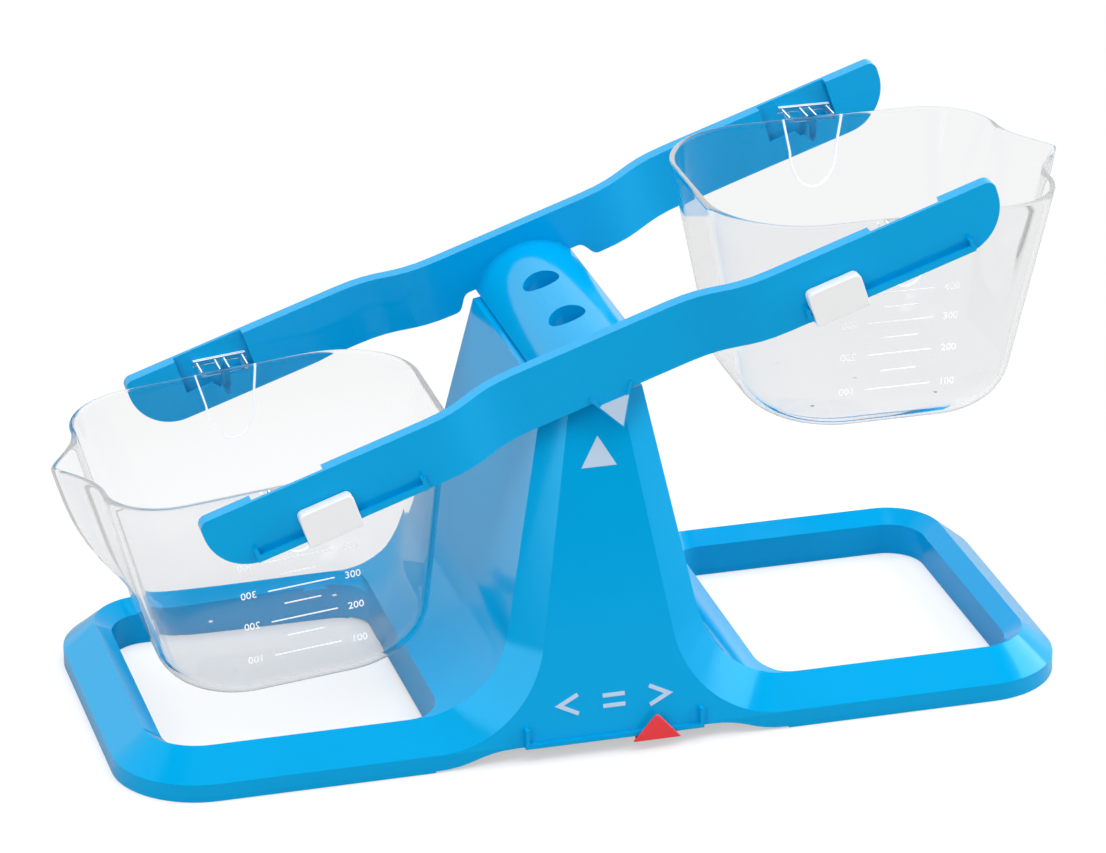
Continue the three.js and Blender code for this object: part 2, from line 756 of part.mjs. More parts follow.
function bucket(side) {
  const bottom = rimHeight - bucketDepth;
  const outer = bucketSkin(side, 0, bottom);
  const inner = bucketSkin(side, bucketWall, bottom + bucketFloor);
  const inside = lofted([...inner, inner[inner.length - 1].map((p) => p.clone().setZ(rimHeight + margin))]);
  return joined([lofted(outer), hanger(-1), hanger(1)]).subtract(inside);
}

// The whole scale: the beam's group turns about the fulcrum, and the buckets hang from it.
const scale = new THREE.Group();
scale.add(piece("base", base(), skyBlue));

const markerMesh = piece("marker", marker(), red);
markerMesh.position.x = markerRest;
scale.add(markerMesh);

const rocker = new THREE.Group();
rocker.position.z = pivotHeight;
rocker.rotation.y = -restTilt;
scale.add(rocker);

const middle = new THREE.Group();
middle.position.z = -pivotAboveMiddle;
rocker.add(middle);
middle.add(piece("beam", beam(), skyBlue));

const innermost = ledgeStart + stopThickness / 2 + seatGap + compensatorLength / 2;
const leftCompensator = piece("compensator_left", compensator(), white);
leftCompensator.position.x = -leftCompensatorRest;
middle.add(leftCompensator);
const rightCompensator = piece("compensator_right", compensator(), white);
rightCompensator.position.x = innermost;
middle.add(rightCompensator);

const leftBucket = piece("bucket_left", bucket(-1), clear);
leftBucket.position.set(-hangDistance, 0, notchRoot);
leftBucket.rotation.y = restTilt - leftBucketTilt;
middle.add(leftBucket);
const rightBucket = piece("bucket_right", bucket(1), clear);
rightBucket.position.set(hangDistance, 0, notchRoot);
rightBucket.rotation.y = restTilt;
middle.add(rightBucket);

export default scale;
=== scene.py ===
import json
from math import cos, radians, sin

import bmesh
import bpy
import numpy as np
from mathutils import Matrix, Vector


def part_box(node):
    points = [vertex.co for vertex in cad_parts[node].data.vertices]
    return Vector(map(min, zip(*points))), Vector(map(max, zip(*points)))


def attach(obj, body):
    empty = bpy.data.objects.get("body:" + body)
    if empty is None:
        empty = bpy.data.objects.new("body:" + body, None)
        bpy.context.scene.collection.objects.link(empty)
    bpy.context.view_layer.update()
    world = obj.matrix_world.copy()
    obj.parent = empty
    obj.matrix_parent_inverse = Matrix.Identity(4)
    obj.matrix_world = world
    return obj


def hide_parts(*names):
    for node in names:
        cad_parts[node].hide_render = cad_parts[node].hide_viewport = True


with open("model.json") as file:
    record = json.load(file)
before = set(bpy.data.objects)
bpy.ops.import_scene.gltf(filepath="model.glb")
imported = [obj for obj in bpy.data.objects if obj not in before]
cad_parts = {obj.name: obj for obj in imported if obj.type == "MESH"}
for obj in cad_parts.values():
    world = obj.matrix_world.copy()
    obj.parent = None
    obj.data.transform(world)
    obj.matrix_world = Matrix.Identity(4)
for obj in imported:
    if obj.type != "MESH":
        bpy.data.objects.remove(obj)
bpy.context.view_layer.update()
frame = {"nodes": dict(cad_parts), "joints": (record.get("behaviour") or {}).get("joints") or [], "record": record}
mm = 0.001
samePoint = 1e-7  # points of a new surface closer than this are one
sameCadPoint = 2e-6  # and points of a CAD mesh
flatAngle = 0.4  # degrees; flatter edges of a CAD mesh are dissolved
jointOf = {joint["name"]: joint for joint in frame["joints"]}
mountOf = {mount["name"]: mount for mount in frame["record"]["mounts"]}
print("frame loaded:", ", ".join(sorted(frame["nodes"])))

# Places taken from the frame: the beam's directions, its pivot and the left bucket's lean
beamAlong = np.array(jointOf["left_compensator_slide"]["axis"])
beamUp = np.array([-beamAlong[2], 0, beamAlong[0]])
beamPivot = np.array(jointOf["beam_rock"]["pos_m"])
leanLeft = np.array(mountOf["left_bucket_floor"]["axis"])


# Meshes

# Quads of a grid, row by row; wrap joins the last column to the first
def gridFaces(rows, cols, wrap):
    r = np.arange(rows - 1)[:, None]
    c = np.arange(cols if wrap else cols - 1)[None, :]
    n = (c + 1) % cols
    corners = [r * cols + c, r * cols + n, (r + 1) * cols + n, (r + 1) * cols + c]
    return np.stack(corners, axis=-1).reshape(-1, 4).tolist()


def newObject(name, mesh, material):
    mesh.materials.clear()
    mesh.materials.append(material)
    piece = bpy.data.objects.new(name, mesh)
    bpy.context.scene.collection.objects.link(piece)
    return piece


# Mesh object from points and faces, with doubled points merged and faces turned outwards;
# frost is the share of dull edge at each point
def surface(name, points, faces, material, frost=None, sharpAngle=40):
    mesh = bpy.data.meshes.new(name)
    mesh.from_pydata(np.reshape(points, (-1, 3)).tolist(), [], faces)
    if frost is not None:
        mesh.attributes.new("frost", "FLOAT", "POINT").data.foreach_set("value", np.ravel(frost))
    work = bmesh.new()
    work.from_mesh(mesh)
    bmesh.ops.remove_doubles(work, verts=work.verts, dist=samePoint)
    bmesh.ops.recalc_face_normals(work, faces=work.faces)
    work.to_mesh(mesh)
    work.free()
    smoothed(mesh, sharpAngle)
    return newObject(name, mesh, material)


def smoothed(mesh, sharpAngle):
    mesh.polygons.foreach_set("use_smooth", np.ones(len(mesh.polygons), bool))
    mesh.set_sharp_from_angle(angle=radians(sharpAngle))
    mesh.update()


# Copy of a CAD node with its triangles merged and its flat faces made whole
def mergedCopy(node, name, material):
    mesh = frame["nodes"][node].data.copy()
    mesh.name = name
    if "custom_normal" in mesh.attributes:
        mesh.attributes.remove(mesh.attributes["custom_normal"])
    work = bmesh.new()
    work.from_mesh(mesh)
    bmesh.ops.remove_doubles(work, verts=work.verts, dist=sameCadPoint)
    bmesh.ops.dissolve_limit(work, angle_limit=radians(flatAngle), verts=work.verts, edges=work.edges)
    work.to_mesh(mesh)
    work.free()
    return newObject(name, mesh, material)


# Rounds the edges, and keeps the flats flat
def rounded(piece, width, segments=3, edgeAngle=19, sharpAngle=24):
    bevel = piece.modifiers.new("rounding", "BEVEL")
    bevel.width = width
    bevel.segments = segments
    bevel.limit_method = "ANGLE"
    bevel.angle_limit = radians(edgeAngle)
    bevel.miter_outer = "MITER_ARC"
    bpy.context.view_layer.update()
    made = piece.evaluated_get(bpy.context.evaluated_depsgraph_get())
    mesh = bpy.data.meshes.new_from_object(made)
    piece.modifiers.clear()
    mesh.name = piece.name
    piece.data = mesh
    smoothed(mesh, sharpAngle)
    weighted = piece.modifiers.new("flats", "WEIGHTED_NORMAL")
    weighted.keep_sharp = True
    return piece


# Points of a flat drawing on a wall: place + u * across + v * up
def drawn(flat, place, across, up):
    return np.asarray(place, float) + flat[:, :1] * np.asarray(across) + flat[:, 1:] * np.asarray(up)


# Closed prism on a drawn outline, from one height to another along out
def prism(outline, place, across, up, out, low, high):
    ring = np.asarray(outline, float)
    n = len(ring)
    flat = drawn(ring, place, across, up)
    points = np.concatenate([flat + low * np.asarray(out), flat + high * np.asarray(out)])
    here = np.arange(n)
    after = np.roll(here, -1)
    walls = np.stack([here, after, after + n, here + n], axis=-1).tolist()
    return points, [here[::-1].tolist(), (here + n).tolist(), *walls]


# Rib with a rectangular section along a drawn path, from low to high along out
def rib(path, width, place, across, up, out, low, high):
    path = np.asarray(path, float)
    step = np.gradient(path, axis=0)
    step /= np.linalg.norm(step, axis=1, keepdims=True)
    beside = np.stack([-step[:, 1], step[:, 0]], axis=-1) * width / 2
    corners = [(path + beside, low), (path - beside, low), (path - beside, high), (path + beside, high)]
    rows = [drawn(flat, place, across, up) + level * np.asarray(out) for flat, level in corners]
    last = 4 * (len(path) - 1)
    ends = [[3, 2, 1, 0], [last, last + 1, last + 2, last + 3]]
    return np.stack(rows, axis=1).reshape(-1, 3), gridFaces(len(path), 4, True) + ends


# Joins several points-and-faces pairs into one
def gathered(parts):
    points = []
    faces = []
    for spots, cells in parts:
        start = sum(len(group) for group in points)
        points.append(np.reshape(spots, (-1, 3)))
        faces.extend([corner + start for corner in cell] for cell in cells)
    return np.concatenate(points), faces


# Boundary of the filled cells of a grid with its own spacing on each axis
def blockSurface(xs, ys, zs, filled):
    nodes = np.stack(np.meshgrid(xs, ys, zs, indexing="ij"), axis=-1).reshape(-1, 3)
    number = np.arange(len(nodes)).reshape(len(xs), len(ys), len(zs))
    faces = []
    for axis in range(3):
        full = np.moveaxis(np.pad(filled, 1), axis, 0)
        edge = np.moveaxis(number, axis, 0)
        where = np.argwhere(full[1:, 1:-1, 1:-1] != full[:-1, 1:-1, 1:-1])
        i, j, k = where.T
        corners = [edge[i, j, k], edge[i, j + 1, k], edge[i, j + 1, k + 1], edge[i, j, k + 1]]
        faces.append(np.stack(corners, axis=-1))
    faces = np.concatenate(faces)
    used, again = np.unique(faces, return_inverse=True)
    return nodes[used], again.reshape(faces.shape).tolist()


# Materials

def newNode(tree, kind, **values):
    node = tree.nodes.new(kind)
    for name, value in values.items():
        setattr(node, name, value)
    return node


# Largest of several sockets
def maxOf(tree, first, *others):
    for other in others:
        node = newNode(tree, "ShaderNodeMath", operation="MAXIMUM")
        tree.links.new(first, node.inputs[0])
        tree.links.new(other, node.inputs[1])
        first = node.outputs[0]
    return first


mouldedSet = dict(driftScale=14, driftDetail=3, streakScale=(420, 420, 9), streakDetail=2, grainDetail=3)


# Moulded surface: slow colour drift, fine flow streaks and a grain too small to see as shape
def mouldedGroup():
    tree = bpy.data.node_groups.new("mouldedSurface", "ShaderNodeTree")
    face = tree.interface
    for name, kind, value in (
        ("Color", "NodeSocketColor", (0.5, 0.5, 0.5, 1)),
        ("Drift", "NodeSocketFloat", 0.04),
        ("Roughness", "NodeSocketFloat", 0.3),
        ("Streaks", "NodeSocketFloat", 0.06),
        ("Grain", "NodeSocketFloat", 1400.0),
    ):
        face.new_socket(name, in_out="INPUT", socket_type=kind).default_value = value
    for name, kind in (
        ("Color", "NodeSocketColor"), ("Roughness", "NodeSocketFloat"), ("Height", "NodeSocketFloat"),
    ):
        face.new_socket(name, in_out="OUTPUT", socket_type=kind)
    given = newNode(tree, "NodeGroupInput")
    result = newNode(tree, "NodeGroupOutput")
    place = newNode(tree, "ShaderNodeTexCoord")

    slow = newNode(tree, "ShaderNodeTexNoise")
    slow.inputs["Scale"].default_value = mouldedSet["driftScale"]
    slow.inputs["Detail"].default_value = mouldedSet["driftDetail"]
    tree.links.new(place.outputs["Object"], slow.inputs["Vector"])
    centred = newNode(tree, "ShaderNodeMath", operation="SUBTRACT")
    tree.links.new(slow.outputs["Fac"], centred.inputs[0])
    centred.inputs[1].default_value = 0.5
    drift = newNode(tree, "ShaderNodeMath", operation="MULTIPLY_ADD")
    tree.links.new(centred.outputs[0], drift.inputs[0])
    tree.links.new(given.outputs["Drift"], drift.inputs[1])
    drift.inputs[2].default_value = 1.0
    tint = newNode(tree, "ShaderNodeVectorMath", operation="SCALE")
    tree.links.new(given.outputs["Color"], tint.inputs[0])
    tree.links.new(drift.outputs[0], tint.inputs["Scale"])
    tree.links.new(tint.outputs["Vector"], result.inputs["Color"])

    stretch = newNode(tree, "ShaderNodeMapping")
    stretch.inputs["Scale"].default_value = mouldedSet["streakScale"]
    tree.links.new(place.outputs["Object"], stretch.inputs["Vector"])
    streak = newNode(tree, "ShaderNodeTexNoise")
    streak.inputs["Scale"].default_value = 1
    streak.inputs["Detail"].default_value = mouldedSet["streakDetail"]
    tree.links.new(stretch.outputs["Vector"], streak.inputs["Vector"])
    dull = newNode(tree, "ShaderNodeMath", operation="MULTIPLY_ADD")
    tree.links.new(streak.outputs["Fac"], dull.inputs[0])
    tree.links.new(given.outputs["Streaks"], dull.inputs[1])
    tree.links.new(given.outputs["Roughness"], dull.inputs[2])
    tree.links.new(dull.outputs[0], result.inputs["Roughness"])

    grain = newNode(tree, "ShaderNodeTexNoise")
    grain.inputs["Detail"].default_value = mouldedSet["grainDetail"]
    tree.links.new(place.outputs["Object"], grain.inputs["Vector"])
    tree.links.new(given.outputs["Grain"], grain.inputs["Scale"])
    tree.links.new(grain.outputs["Fac"], result.inputs["Height"])
    return tree


moulded = mouldedGroup()
grainDepth = 0.0001


# Solid plastic with the moulded surface, and a painted glow where the look gives one
def plastic(name, look):
    material = bpy.data.materials.new(name)
    material.use_nodes = True
    tree = material.node_tree
    shader = tree.nodes["Principled BSDF"]
    group = newNode(tree, "ShaderNodeGroup", node_tree=moulded)
    group.inputs["Color"].default_value = (*look["color"], 1)
    for trait in ("drift", "roughness", "streaks", "grain"):
        group.inputs[trait.capitalize()].default_value = look[trait]
    bump = newNode(tree, "ShaderNodeBump")
    bump.inputs["Strength"].default_value = look["bump"]
    bump.inputs["Distance"].default_value = grainDepth
    tree.links.new(group.outputs["Color"], shader.inputs["Base Color"])
    tree.links.new(group.outputs["Roughness"], shader.inputs["Roughness"])
    tree.links.new(group.outputs["Height"], bump.inputs["Height"])
    tree.links.new(bump.outputs["Normal"], shader.inputs["Normal"])
    shader.inputs["Specular IOR Level"].default_value = look["specular"]
    shader.inputs["Specular Tint"].default_value = (*look["tint"], 1)
    # Emission is a painted glow: a surface that lights itself, used only by looks that give glow
    shader.inputs["Emission Color"].default_value = (1, 1, 1, 1)
    shader.inputs["Emission Strength"].default_value = look.get("glow", 0)
    return material


blueLook = dict(
    color=(0.0, 0.36, 0.73), drift=0.05, roughness=0.10, streaks=0.05, grain=700, bump=0.012,
    specular=0.45, tint=(0.25, 0.75, 1.0),
)
whiteLook = dict(
    color=(0.89, 0.89, 0.895), drift=0.03, roughness=0.34, streaks=0.05, grain=900, bump=0.015,
    specular=0.4, tint=(1.0, 1.0, 1.0),
)
redLook = dict(
    color=(0.88, 0.045, 0.055), drift=0.06, roughness=0.26, streaks=0.05, grain=900, bump=0.015,
    specular=0.4, tint=(1.0, 0.7, 0.7),
)
# White print darkened to a blue-grey: painted shade
shadedPrintLook = dict(
    color=(0.51, 0.64, 0.80), drift=0.05, roughness=0.5, streaks=0.04, grain=1500, bump=0.03,
    specular=0.25, tint=(1.0, 1.0, 1.0),
)
# White with a painted glow that keeps it white in shade: the volume marks are drawn in it, and so are the hangers'
# U edges and lip lines, which are painted highlights
paintedGlowLook = dict(
    color=(0.92, 0.93, 0.94), drift=0.05, roughness=0.5, streaks=0.04, grain=1500, bump=0.03,
    specular=0.25, tint=(1.0, 1.0, 1.0), glow=0.28,
)
bluePlastic = plastic("bluePlastic", blueLook)
whitePlastic = plastic("whitePlastic", whiteLook)
redPlastic = plastic("redPlastic", redLook)
whitePrint = plastic("whitePrint", shadedPrintLook)
clearInk = plastic("clearInk", paintedGlowLook)

clearLook = dict(
    color=(0.915, 0.918, 0.922), roughness=0.02, edgeRoughness=0.42, ior=1.2,
    wave=0.05, waveScale=22, waveDetail=1, waveDepth=0.002, shade=0.96, deepest=3,
)


# Clear plastic: slightly wavy walls, edges dulled by the frost attribute, shadows that let most of the light
# through, and plain see-through walls for rays that have bounced too often
def clearMaterial(look):
    material = bpy.data.materials.new("clearPlastic")
    material.use_nodes = True
    tree = material.node_tree
    shader = tree.nodes["Principled BSDF"]
    shader.inputs["Base Color"].default_value = (*look["color"], 1)
    shader.inputs["IOR"].default_value = look["ior"]
    edge = newNode(tree, "ShaderNodeAttribute", attribute_name="frost")
    dull = newNode(tree, "ShaderNodeMapRange")
    dull.inputs["To Min"].default_value = look["roughness"]
    dull.inputs["To Max"].default_value = look["edgeRoughness"]
    tree.links.new(edge.outputs["Fac"], dull.inputs["Value"])
    tree.links.new(dull.outputs["Result"], shader.inputs["Roughness"])
    shader.inputs["Transmission Weight"].default_value = 1
    place = newNode(tree, "ShaderNodeTexCoord")
    wave = newNode(tree, "ShaderNodeTexNoise")
    wave.inputs["Scale"].default_value = look["waveScale"]
    wave.inputs["Detail"].default_value = look["waveDetail"]
    bump = newNode(tree, "ShaderNodeBump")
    bump.inputs["Strength"].default_value = look["wave"]
    bump.inputs["Distance"].default_value = look["waveDepth"]
    tree.links.new(place.outputs["Object"], wave.inputs["Vector"])
    tree.links.new(wave.outputs["Fac"], bump.inputs["Height"])
    tree.links.new(bump.outputs["Normal"], shader.inputs["Normal"])
    through = newNode(tree, "ShaderNodeBsdfTransparent")
    through.inputs["Color"].default_value = (*[look["shade"]] * 3, 1)
    path = newNode(tree, "ShaderNodeLightPath")
    trapped = newNode(tree, "ShaderNodeMath", operation="GREATER_THAN")
    tree.links.new(path.outputs["Ray Depth"], trapped.inputs[0])
    trapped.inputs[1].default_value = look["deepest"]
    free = maxOf(tree, path.outputs["Is Shadow Ray"], path.outputs["Is Diffuse Ray"], trapped.outputs[0])
    mix = newNode(tree, "ShaderNodeMixShader")
    tree.links.new(free, mix.inputs["Fac"])
    tree.links.new(shader.outputs["BSDF"], mix.inputs[1])
    tree.links.new(through.outputs["BSDF"], mix.inputs[2])
    tree.links.new(mix.outputs["Shader"], tree.nodes["Material Output"].inputs["Surface"])
    return material


clearPlastic = clearMaterial(clearLook)
print("materials made")

# Base, beam, compensators and marker: the frame's shapes with rounded edges
mouldings = [
    dict(node="base", material=bluePlastic, slot="blue_plastic", rounding=0.7),
    dict(node="beam", material=bluePlastic, slot="blue_plastic", rounding=0.5),
    dict(node="compensator_left", material=whitePlastic, slot="white_plastic", rounding=0.5),
    dict(node="compensator_right", material=whitePlastic, slot="white_plastic", rounding=0.5),
    dict(node="marker", material=redPlastic, slot="red_plastic", rounding=0.3),
]
for moulding in mouldings:
    shell = mergedCopy(moulding["node"], moulding["node"] + "_moulding", moulding["material"])
    rounded(shell, moulding["rounding"] * mm)
    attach(shell, moulding["node"])
    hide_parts(moulding["node"])
print("mouldings rounded:", len(mouldings))

# Buckets, in millimetres from the hanging axis, with the spout towards +x
bucket = dict(
    depth=79.9, rim=9.6, wall=1.8, floor=2.0,
    rimHalfLength=60.7, rimSpoutLength=59.2, rimHalfWidth=51.0, rimCorner=24.0, rimRound=34.0,
    floorHalfLength=44.9, floorHalfWidth=44.1, floorCorner=28.0, floorRound=31.0, floorEdge=13.7,
    spoutReach=11.8, spoutHalfWidth=30.0, spoutDrop=50.0, spoutBelly=3.2, spoutChin=1.3,
    spoutNeck=0.86, spoutRoot=0.55, spoutNose=0.2,  # its curves: shares of the reach and of the half-width
    straightSteps=8, cornerSteps=16, spoutSteps=24, wallSteps=24, edgeSteps=10, floorSteps=6, rimSteps=6,
)


# Sizes of the outline at heights z, straight in z from the floor to the rim; the spout's reach is
# (1 - fall**belly)**chin of its reach at the rim, with fall from 0 at the rim to 1 at the spout's foot
def bucketSizes(z, inset):
    b = bucket
    rise = (z - b["rim"] + b["depth"]) / b["depth"]

    def between(low, high):
        return b[low] + rise * (b[high] - b[low]) - inset

    fall = np.clip((b["rim"] - z) / b["spoutDrop"], 0, 1)
    return dict(
        back=between("floorHalfLength", "rimHalfLength"), fore=between("floorHalfLength", "rimSpoutLength"),
        width=between("floorHalfWidth", "rimHalfWidth"), radius=between("floorCorner", "rimCorner"),
        wide=between("floorRound", "rimRound"),
        spout=b["spoutReach"] * (1 - fall**b["spoutBelly"])**b["spoutChin"],
    )


# Points at shares t of the cubic curve with four control points
def bezier(p0, p1, p2, p3, t):
    s = 1 - t
    return s**3 * p0 + 3 * s**2 * t * p1 + 3 * s * t**2 * p2 + t**3 * p3


# Outline rows: a rounded rectangle whose +x end is two S-curves that meet at the spout's tip
def bucketRows(z, inset):
    b = bucket
    z, inset = np.broadcast_arrays(np.asarray(z, float)[:, None], np.asarray(inset, float)[:, None])
    size = bucketSizes(z, inset)
    back, fore, width = size["back"], size["fore"], size["width"]
    radius, wide = size["radius"], size["wide"]
    straight = np.linspace(0, 1, b["straightSteps"], endpoint=False)[None, :]
    turn = np.linspace(0, np.pi / 2, b["cornerSteps"], endpoint=False)[None, :]
    curve = np.linspace(0, 1, b["spoutSteps"], endpoint=False)[None, :]
    flat = np.minimum(b["spoutHalfWidth"], width - radius)
    tip = fore + size["spout"]
    neck = fore + b["spoutNeck"] * size["spout"]
    root, nose = b["spoutRoot"] * flat, b["spoutNose"] * flat
    parts = []

    def corner(cx, cy, bend, start):
        parts.append((cx + bend * np.cos(start + turn), cy + bend * np.sin(start + turn)))

    def line(x0, y0, x1, y1):
        parts.append((x0 + (x1 - x0) * straight, y0 + (y1 - y0) * straight))

    line(wide - back, -width, fore - radius, -width)
    corner(fore - radius, radius - width, radius, -np.pi / 2)
    parts.append((bezier(fore, fore, neck, tip, curve), bezier(radius - width, -root, -nose, 0, curve)))
    parts.append((bezier(tip, neck, fore, fore, curve), bezier(0, nose, root, width - radius, curve)))
    corner(fore - radius, width - radius, radius, 0)
    line(fore - radius, width, wide - back, width)
    corner(wide - back, width - wide, wide, np.pi / 2)
    line(-back, width - wide, -back, wide - width)
    corner(wide - back, wide - width, wide, np.pi)
    x = np.concatenate([part[0] for part in parts], axis=1)
    y = np.concatenate([part[1] for part in parts], axis=1)
    return np.stack([x, y, np.broadcast_to(z, x.shape)], axis=-1)


# One closed skin: outer floor, edge arc, wall, rim half-circle, and back down the inside
def bucketSkin():
    b = bucket
    bottom = b["rim"] - b["depth"]
    half = b["wall"] / 2

    def side(inset, floor, top):
        edge = b["floorEdge"] - inset
        turn = np.linspace(0, np.pi / 2, b["edgeSteps"])
        zEdge = floor + edge * (1 - np.cos(turn))
        insetEdge = inset + edge * (1 - np.sin(turn))
        zWall = np.linspace(zEdge[-1], top, b["wallSteps"] + 1)[1:]
        rows = bucketRows(np.concatenate([zEdge, zWall]), np.concatenate([insetEdge, inset + 0 * zWall]))
        share = np.linspace(0, 1, b["floorSteps"], endpoint=False)[:, None, None]
        middle = rows[:1] * np.array([0, 0, 1])
        return np.concatenate([middle + share * (rows[:1] - middle), rows])

    turn = np.linspace(0, np.pi, b["rimSteps"] + 2)[1:-1]
    lip = bucketRows(b["rim"] - half + half * np.sin(turn), half - half * np.cos(turn))
    outer = side(0, bottom, b["rim"] - half)
    inner = side(b["wall"], bottom + b["floor"], b["rim"] - half)
    return np.concatenate([outer, lip, inner[::-1]])


# Turns bucket points to their place: mirrored for the left, leaned, and moved to the axis
def bucketPlace(points, side):
    lean = side["lean"]
    axis = jointOf[side["joint"]]["pos_m"]
    x = side["mirror"] * points[..., 0] * mm
    z = points[..., 2] * mm
    along = x * lean[2] + z * lean[0]
    up = z * lean[2] - x * lean[0]
    return np.stack([axis[0] + along, axis[1] + points[..., 1] * mm, axis[2] + up], axis=-1)


skin = bucketSkin()
skinFaces = gridFaces(skin.shape[0], skin.shape[1], True)
skinFrost = np.zeros(skin.shape[:2])
lipStart = bucket["floorSteps"] + bucket["edgeSteps"] + bucket["wallSteps"]
skinFrost[lipStart:lipStart + bucket["rimSteps"]] = 1
sides = [
    dict(body="bucket_left", joint="left_bucket_swing", mirror=-1, lean=leanLeft),
    dict(body="bucket_right", joint="right_bucket_swing", mirror=1, lean=np.array([0.0, 0.0, 1.0])),
]
for side in sides:
    placed = bucketPlace(skin, side)
    shell = surface(side["body"] + "_shell", placed, skinFaces, clearPlastic, skinFrost)
    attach(shell, side["body"])
    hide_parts(side["body"])
print("bucket shells made:", skin.shape[0], "by", skin.shape[1], "points each")

# Five small studs on each bucket's floor: caps z = height * (1 - share**2)
studs = dict(
    radius=0.8, height=0.2, sunk=0.1, rings=5, sides=20, frost=0.12,
    spots=((0, 0), (-22, 20), (22, 20), (-22, -20), (22, -20)),
)


def floorStuds():
    s = studs
    share = np.linspace(1, 0, s["rings"])[:, None]
    turn = np.linspace(0, 2 * np.pi, s["sides"], endpoint=False)[None, :]
    floor = bucket["rim"] - bucket["depth"] + bucket["floor"]
    across = s["radius"] * share * np.cos(turn)
    along = s["radius"] * share * np.sin(turn)
    rise = np.broadcast_to(s["height"] * (1 - share**2), across.shape)
    cap = np.stack([across, along, rise], axis=-1)
    foot = cap[:1] - np.array([0, 0, s["sunk"]])
    middle = foot * np.array([0, 0, 1])
    rows = np.concatenate([middle, foot, cap]) + np.array([0, 0, floor])
    cells = gridFaces(len(rows), s["sides"], True)
    return gathered([(rows + np.array([x, y, 0]), cells) for x, y in s["spots"]])


for side in sides:
    points, faces = floorStuds()
    placed = bucketPlace(points, side)
    frost = np.full(len(placed), studs["frost"])
    dots = surface(side["body"] + "_studs", placed, faces, clearPlastic, frost)
    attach(dots, side["body"])
print("floor studs made:", len(studs["spots"]))

# Hangers: a plate with two windows, a lip, a tongue that bears in the rail, and a U-shaped edge on the wall; the U
# edge and the lines on the plate are painted highlights in glowing white
hanger = dict(
    root=50.4, rimFace=51.6, lipInner=60.2, lipOuter=61.6, plate=1.6, lipRise=0.6,
    halfWidth=8.4, bar=1.6, lipHalfWidth=9.5,
    tongueHalfWidth=1.6, tongueTip=0.3, tongueShoulder=1.6, tongueTaper=(0.4, 0.7, 1.0),
    padHalfWidth=10.6, padWaist=8.4, padStart=-0.6, padStraight=12.0, padDepth=25.3, padEdge=0.55,
    padThickness=0.9, padSunk=0.3, padSteps=24,
    lineWidth=0.4, lineProud=0.06, lineSunk=0.1, frost=0.45, rounding=0.25,
)


def hangerPlate(front):
    h = hanger
    top = bucket["rim"]
    under = top - h["plate"]
    halves = [h["tongueHalfWidth"], h["halfWidth"] - h["bar"], h["halfWidth"], h["lipHalfWidth"]]
    xs = np.array([-x for x in halves[::-1]] + halves)
    ys = np.array([h["root"], h["rimFace"], h["lipInner"], h["lipOuter"]])
    zs = np.array([h["tongueTip"], h["tongueShoulder"], under, top, top + h["lipRise"]])
    filled = np.zeros((len(xs) - 1, len(ys) - 1, len(zs) - 1), bool)
    filled[1:-1, :, 2] = True
    filled[2, 1, 2] = filled[4, 1, 2] = False  # windows
    filled[:, 2, 2:] = True  # lip
    filled[3, :, :3] = True  # tongue
    points, faces = blockSurface(xs, ys, zs, filled)
    narrow = np.interp(points[:, 2], [h["tongueTip"], h["tongueShoulder"], under], h["tongueTaper"])
    points[:, 0] *= narrow  # the tongue tapers to its tip
    points[:, 1] *= front
    return points, faces


# The wall's own directions at the middle of the front or back: its foot, up the slope and out of it
def wallFrame(front):
    b = bucket
    slope = np.array([0, front * (b["rimHalfWidth"] - b["floorHalfWidth"]), b["depth"]])
    up = slope / np.linalg.norm(slope)
    out = np.array([0, front * up[2], -front * up[1]])
    foot = np.array([0, front * b["floorHalfWidth"], b["rim"] - b["depth"]])
    return foot, up, out


# U-shaped edge, a glowing white rib that paints the highlight on the pad's outline: straight sides that close in a
# little, then a half-ellipse
def hangerPad(front):
    h = hanger
    foot, up, out = wallFrame(front)
    rim = foot + up * (bucket["depth"] / up[2])
    turn = np.linspace(np.pi, 2 * np.pi, h["padSteps"] + 1)
    drop = h["padDepth"] - h["padStraight"]
    curve = np.stack([h["padWaist"] * np.cos(turn), drop * np.sin(turn) - h["padStraight"]], axis=-1)
    ends = [[[-h["padHalfWidth"], h["padStart"]]], [[h["padHalfWidth"], h["padStart"]]]]
    path = np.concatenate([ends[0], curve, ends[1]])
    return rib(path, h["padEdge"], rim, [1, 0, 0], up, out, -h["padSunk"], h["padThickness"])


# Painted highlights: glowing white lines along the lip's outline and beside the two windows
def hangerLines(front):
    h = hanger
    side = h["lipHalfWidth"] - h["lineWidth"]
    low, high = h["lipInner"] + h["lineWidth"] / 2, h["lipOuter"] - h["lineWidth"] / 2
    edge = h["halfWidth"] - h["lineWidth"]
    tongue = h["tongueHalfWidth"]
    top = bucket["rim"]
    outline = [[-side, low], [-side, high], [side, high], [side, low], [-side, low]]
    bars = [[[x, h["rimFace"]], [x, h["lipInner"]]] for x in (-edge, edge, -tongue, tongue)]

    def line(path, level):
        across, up, out = [1, 0, 0], [0, front, 0], [0, 0, 1]
        return rib(path, h["lineWidth"], [0, 0, level], across, up, out, -h["lineSunk"], h["lineProud"])

    return gathered([line(outline, top + h["lipRise"]), *[line(bar, top) for bar in bars]])


for side in sides:
    for front, word in ((-1, "front"), (1, "back")):
        points, faces = hangerPlate(front)
        placed = bucketPlace(points, side)
        frost = np.full(len(placed), hanger["frost"])
        hook = surface(f"{side['body']}_hanger_{word}", placed, faces, clearPlastic, frost)
        rounded(hook, hanger["rounding"] * mm)
        points, faces = gathered([hangerPad(front), hangerLines(front)])
        placed = bucketPlace(points, side)
        # The U edge and the lines are painted highlights, in glowing white
        edges = surface(f"{side['body']}_edges_{word}", placed, faces, clearInk)
        for piece in (hook, edges):
            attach(piece, side["body"])
print("hangers made")

